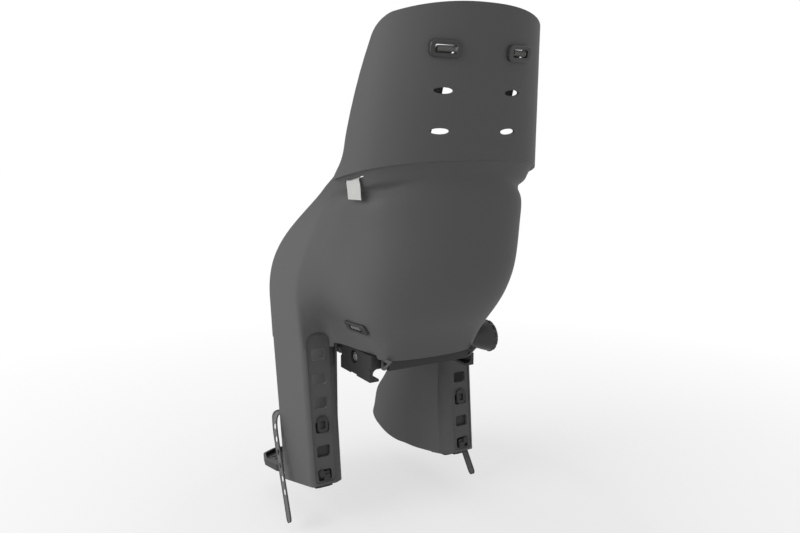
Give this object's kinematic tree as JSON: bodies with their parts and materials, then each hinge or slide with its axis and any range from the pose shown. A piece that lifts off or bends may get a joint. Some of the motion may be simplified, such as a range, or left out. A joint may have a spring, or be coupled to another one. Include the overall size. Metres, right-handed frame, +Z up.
{
  "type": "child bike seat",
  "caption": "Rear child bike seat: moulded bucket with high back and leg guards, hooked-in footrests, harness and a side-clamping carrier bracket with a knob.",
  "frame": {"origin": "centre of the carrier bracket's flat underside, level with the top of the carrier tubes", "axes": "+X to the child's left, +Y to the rear of the bicycle, +Z up"},
  "size_m": [0.3768, 0.5134, 0.8123],
  "materials": {
    "shell_plastic": "fine matte grain, dark grey",
    "bracket_plastic": "matte, near black",
    "jaw_plastic": "matte, near black",
    "knob_plastic": "satin, near black",
    "steel": "zinc plated",
    "lug_metal": "light satin",
    "footrest_plastic": "matte, near black",
    "foot_strap_rubber": "soft satin",
    "webbing": "woven webbing",
    "buckle_plastic": "satin black",
    "button_plastic": "satin red",
    "retainer_plastic": "satin, near black",
    "cushion_fabric": "padded woven cloth",
    "pad_fabric": "padded woven cloth",
    "tag_cloth": "smooth light cloth"
  },
  "bodies": {
    "seat": {"seat_shell": "shell_plastic", "carrier_bracket": "bracket_plastic", "bracket_bolts": "steel", "jaw_right": "jaw_plastic", "adapter_lug": "lug_metal", "footrest_left": "footrest_plastic", "footrest_right": "footrest_plastic", "foot_strap_left": "foot_strap_rubber", "foot_strap_right": "foot_strap_rubber", "shoulder_retainer_left": "retainer_plastic", "shoulder_retainer_right": "retainer_plastic", "lap_retainer_left": "retainer_plastic", "lap_retainer_right": "retainer_plastic", "shoulder_strap_left": "webbing", "shoulder_strap_right": "webbing", "harness_pad_left": "pad_fabric", "harness_pad_right": "pad_fabric", "strap_adjuster_left": "buckle_plastic", "strap_adjuster_right": "buckle_plastic", "lap_strap_left": "webbing", "lap_strap_right": "webbing", "buckle_tongue_left": "buckle_plastic", "buckle_tongue_right": "buckle_plastic", "buckle_body": "buckle_plastic", "crotch_strap": "webbing", "crotch_anchor": "steel", "back_cushion": "cushion_fabric", "seat_cushion": "cushion_fabric", "side_tag": "tag_cloth"},
    "left_jaw": {"jaw_left": "jaw_plastic", "clamp_nut": "steel", "nut_washer": "steel"},
    "knob": {"clamp_screw": "steel", "clamp_knob": "knob_plastic"},
    "release_button": {"release_button": "button_plastic"}
  },
  "joints": [
    {"name": "knob_turn", "type": "hinge", "parent": "seat", "child": "knob", "pos_m": [-0.16, -0.003, 0.009], "axis": [1, 0, 0], "range_deg": [-900, 1080]},
    {"name": "jaw_slide", "type": "slide", "parent": "seat", "child": "left_jaw", "axis": [1, 0, 0], "range_m": [-0.005, 0.006]},
    {"name": "button_press", "type": "slide", "parent": "seat", "child": "release_button", "axis": [0, 1, 0], "range_m": [0, 0.0015], "stiffness_N_per_m": 300}
  ],
  "couplings": [
    {"joint": "jaw_slide", "follows": "knob_turn", "m_per_rad": 0.0003183}
  ]
}
